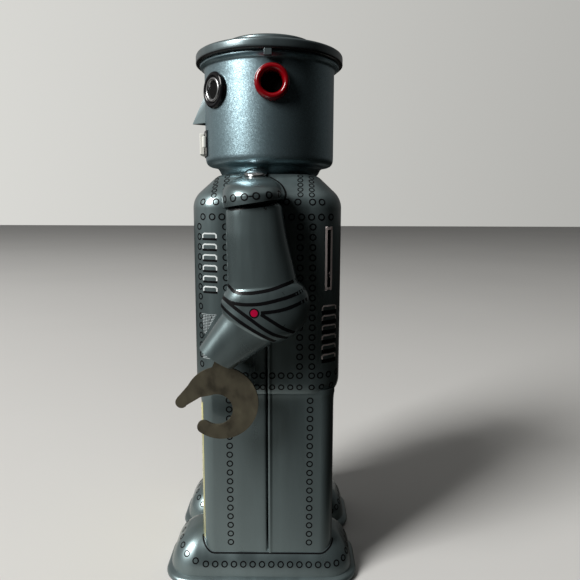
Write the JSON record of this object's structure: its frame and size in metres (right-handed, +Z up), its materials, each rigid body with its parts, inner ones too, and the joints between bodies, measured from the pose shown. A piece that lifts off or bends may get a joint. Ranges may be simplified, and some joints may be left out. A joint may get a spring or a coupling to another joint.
{
  "type": "toy robot",
  "caption": "Clockwork tinplate robot with a bucket head, hooked claws on swinging arms and walking bars under domed feet.",
  "frame": {"origin": "on the ground midway between the feet, under the body's centre line", "axes": "+Z up, the robot faces -Y, its left hand is on +X and its key on -X"},
  "size_m": [0.1017, 0.0675, 0.185],
  "materials": {
    "printed_tin": "gloss printed tinplate, blue-grey",
    "lid_paint": "gloss paint, dark blue-grey",
    "head_paint": "metallic flake paint, light blue-grey",
    "plain_steel": "plain steel",
    "bright_rivet": "bright plated",
    "black_rubber": "smooth black rubber",
    "black_paint": "gloss black",
    "red_paint": "gloss dark red",
    "white_paint": "satin off-white",
    "claw_metal": "dull brown, cut from sheet",
    "wheel_brass": "stamped brass",
    "spring_steel": "blued spring steel"
  },
  "bodies": {
    "root": {"head_drum": "head_paint", "head_lid": "lid_paint", "lid_clips": "plain_steel", "left_eye_grommet": "black_rubber", "right_eye_grommet": "black_rubber", "left_eye_eyelet": "bright_rivet", "right_eye_eyelet": "bright_rivet", "left_ear_ring": "red_paint", "right_ear_ring": "red_paint", "nose": "head_paint", "mouth_plate": "black_paint", "teeth": "white_paint", "neck_rivet": "plain_steel", "front_shell": "printed_tin", "back_shell": "printed_tin", "left_shoulder_cap": "printed_tin", "right_shoulder_cap": "printed_tin", "left_cap_rivet": "bright_rivet", "right_cap_rivet": "bright_rivet", "left_arm_pivot": "plain_steel", "right_arm_pivot": "plain_steel", "left_foot_shell": "printed_tin", "right_foot_shell": "printed_tin", "left_sole_plate": "plain_steel", "right_sole_plate": "plain_steel", "left_motor_plate": "plain_steel", "right_motor_plate": "plain_steel", "motor_pillars": "wheel_brass", "mainspring": "spring_steel"},
    "left_arm": {"left_arm_outer": "printed_tin", "left_arm_inner": "printed_tin", "left_claw": "claw_metal"},
    "right_arm": {"right_arm_outer": "printed_tin", "right_arm_inner": "printed_tin", "right_claw": "claw_metal"},
    "great_wheel": {"great_wheel": "wheel_brass", "click_spring": "spring_steel"},
    "click": {"click": "plain_steel"},
    "winding": {"winding_arbor": "plain_steel", "ratchet_wheel": "plain_steel", "winding_key": "bright_rivet"},
    "second": {"second_arbor": "plain_steel", "second_wheel": "wheel_brass"},
    "crank": {"crank_arbor": "plain_steel", "left_crank": "plain_steel", "right_crank": "plain_steel"},
    "governor": {"governor_arbor": "plain_steel", "governor_fly": "wheel_brass"},
    "left_bar": {"left_walking_bar": "plain_steel"},
    "right_bar": {"right_walking_bar": "plain_steel"}
  },
  "joints": [
    {"name": "great_wheel_turn", "type": "hinge", "parent": "root", "child": "great_wheel", "pos_m": [0, 0.007, 0.0842], "axis": [1, 0, 0], "continuous": true},
    {"name": "key_wind", "type": "hinge", "parent": "great_wheel", "child": "winding", "pos_m": [0, 0.007, 0.0842], "axis": [1, 0, 0], "continuous": true},
    {"name": "click_lift", "type": "hinge", "parent": "great_wheel", "child": "click", "pos_m": [-0.00435, 0.00796, 0.09335], "axis": [1, 0, 0], "range_deg": [0, 10], "stiffness_Nm_per_rad": 0.0002},
    {"name": "second_turn", "type": "hinge", "parent": "root", "child": "second", "pos_m": [0, 0.00082, 0.1019], "axis": [1, 0, 0], "continuous": true},
    {"name": "crank_turn", "type": "hinge", "parent": "root", "child": "crank", "pos_m": [0, -0.0095, 0.0902], "axis": [1, 0, 0], "continuous": true},
    {"name": "governor_turn", "type": "hinge", "parent": "root", "child": "governor", "pos_m": [0, -0.00407, 0.11534], "axis": [1, 0, 0], "continuous": true},
    {"name": "left_bar_hang", "type": "hinge", "parent": "crank", "child": "left_bar", "pos_m": [0.0167, -0.0119, 0.0902], "axis": [1, 0, 0], "continuous": true},
    {"name": "right_bar_hang", "type": "hinge", "parent": "crank", "child": "right_bar", "pos_m": [-0.0167, -0.0071, 0.0902], "axis": [1, 0, 0], "continuous": true},
    {"name": "left_arm_swing", "type": "hinge", "parent": "root", "child": "left_arm", "pos_m": [0.0317, -0.0036, 0.1298], "axis": [1, 0, 0], "range_deg": [-6, 4]},
    {"name": "right_arm_swing", "type": "hinge", "parent": "root", "child": "right_arm", "pos_m": [-0.0317, -0.0036, 0.1298], "axis": [1, 0, 0], "range_deg": [-6, 4]}
  ],
  "couplings": [
    {"joint": "great_wheel_turn", "follows": "second_turn", "ratio": -0.25},
    {"joint": "crank_turn", "follows": "second_turn", "ratio": -3},
    {"joint": "governor_turn", "follows": "second_turn", "ratio": -4.5},
    {"joint": "left_bar_hang", "follows": "second_turn", "ratio": 3},
    {"joint": "right_bar_hang", "follows": "second_turn", "ratio": 3}
  ]
}
